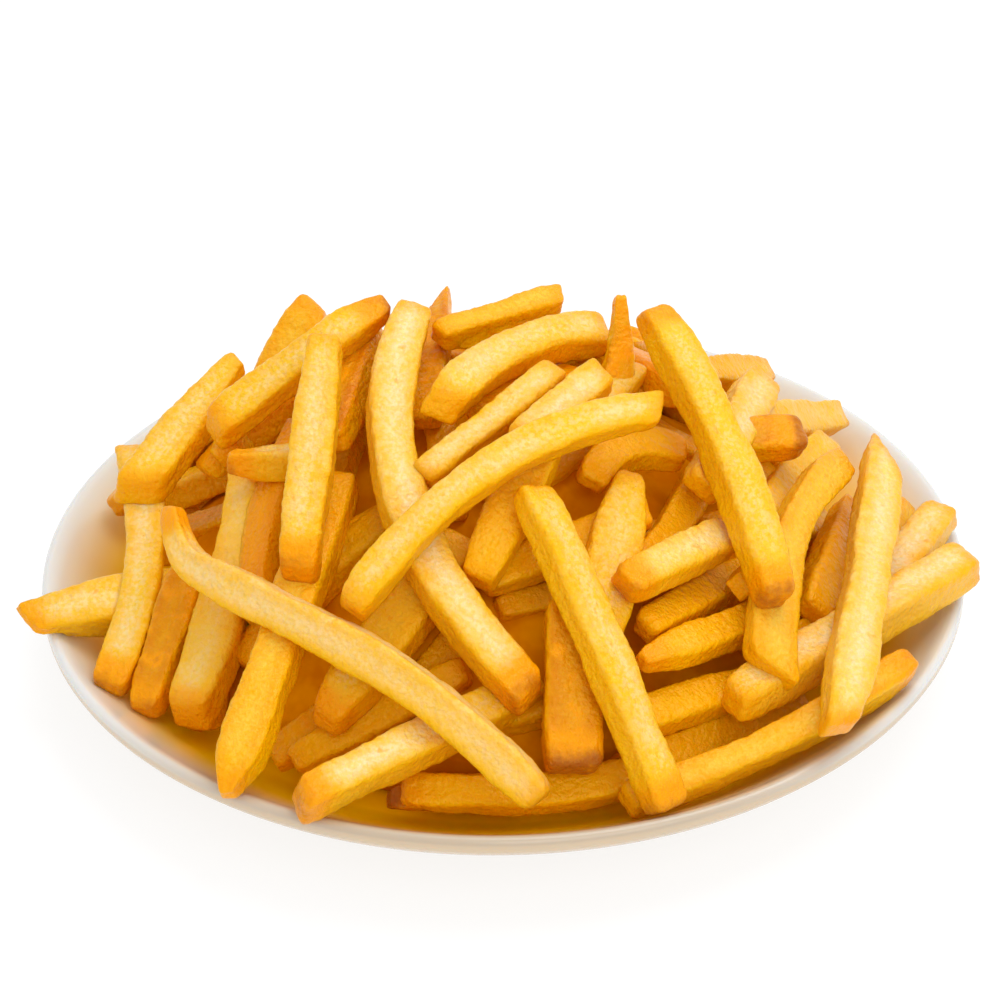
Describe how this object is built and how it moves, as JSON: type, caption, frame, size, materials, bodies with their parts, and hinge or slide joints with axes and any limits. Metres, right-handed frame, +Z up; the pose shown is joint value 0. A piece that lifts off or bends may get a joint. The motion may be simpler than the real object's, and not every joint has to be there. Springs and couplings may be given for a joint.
{
  "type": "french fries portion",
  "caption": "Heap of straight-cut golden french fries piled on a shallow round white porcelain plate.",
  "frame": {"origin": "middle of the plate's foot, on the table", "axes": "+Z up, -Y towards the diner, +X to the diner's right"},
  "size_m": [0.2037, 0.2, 0.0832],
  "materials": {
    "porcelain": "glossy glazed white porcelain",
    "fries": "fried potato, pale golden yellow with golden-brown edges and ends"
  },
  "bodies": {
    "root": {"plate": "porcelain", "fries": "fries"}
  },
  "joints": []
}
